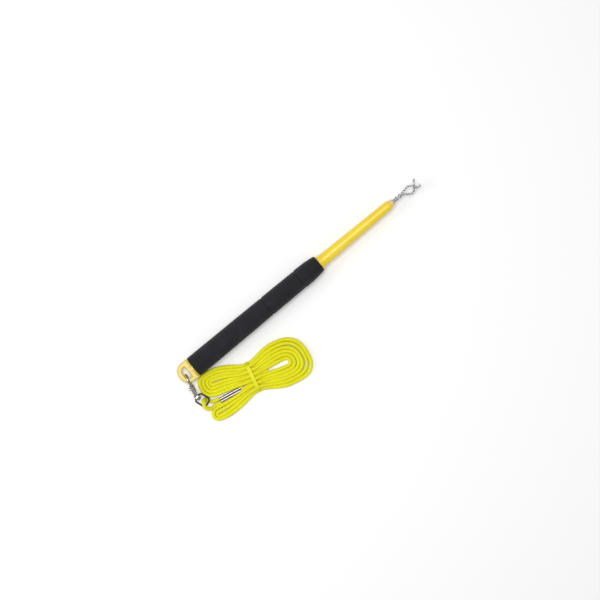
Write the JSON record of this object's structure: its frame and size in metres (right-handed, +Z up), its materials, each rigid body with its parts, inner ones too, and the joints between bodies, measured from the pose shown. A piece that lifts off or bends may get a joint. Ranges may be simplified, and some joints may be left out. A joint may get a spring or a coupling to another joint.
{
  "type": "tow rope handle",
  "caption": "Straight floating tow handle with a foam grip, a wire eye at the tip and a hanked cord on a snap hook at the butt.",
  "frame": {"origin": "on the surface that it lies on, under the middle of everything but the cord", "axes": "+X along the handle towards the tip, +Z up, +Y away from the hank"},
  "size_m": [0.469, 0.135, 0.0334],
  "materials": {
    "yellow_tube": "moulded, satin gloss",
    "yellow_cap": "moulded, satin gloss",
    "foam_grip": "fine closed-cell foam skin",
    "foam_core": "closed-cell foam rod",
    "steel_pin": "ground",
    "galvanised_wire": "galvanised, drawn",
    "anchor_brass": "crimped",
    "nickel_snap": "nickel plated casting",
    "spring_steel": "drawn wire",
    "dark_link": "black oxide, satin",
    "yellow_cord": "hollow-braid polypropylene",
    "aluminium_ferrule": "drawn tube, crimped",
    "yellow_tie": "soft band"
  },
  "bodies": {
    "handle": {"core_tube": "yellow_tube", "butt_cap": "yellow_cap", "cap_pin": "steel_pin", "grip_rear": "foam_grip", "grip_middle": "foam_grip", "grip_front": "foam_grip", "float_core": "foam_core", "tip_plug": "yellow_tube", "tip_pin": "steel_pin", "wire_anchor": "anchor_brass", "leader_strand_a": "galvanised_wire", "leader_strand_b": "galvanised_wire"},
    "tether": {"swivel_eye": "nickel_snap", "swivel_rivet": "nickel_snap", "strap_link": "dark_link", "cord_eye": "yellow_cord", "cord_ferrule": "aluminium_ferrule", "cord_crimped": "yellow_cord", "cord_standing": "yellow_cord", "cord_hank": "yellow_cord", "hank_tie": "yellow_tie"},
    "hook": {"snap_body": "nickel_snap", "bore_plug": "nickel_snap", "gate_spring": "spring_steel"},
    "gate": {"gate_bolt": "nickel_snap", "thumb_knob": "nickel_snap"}
  },
  "joints": [
    {"name": "snap_swing", "type": "hinge", "parent": "handle", "child": "tether", "pos_m": [-0.21382, 0.01894, 0.0167], "axis": [0, 0, 1], "range_deg": [-60, 0]},
    {"name": "hook_swivel", "type": "hinge", "parent": "tether", "child": "hook", "pos_m": [-0.22072, 0.01128, 0.0167], "axis": [-0.2183, -0.9454, -0.2419], "range_deg": [-9, 20]},
    {"name": "gate_slide", "type": "slide", "parent": "hook", "child": "gate", "axis": [-0.2183, -0.9454, -0.2419], "range_m": [0, 0.0056], "stiffness_N_per_m": 300, "springref_m": -0.003, "deforming": ["gate_spring"]}
  ]
}
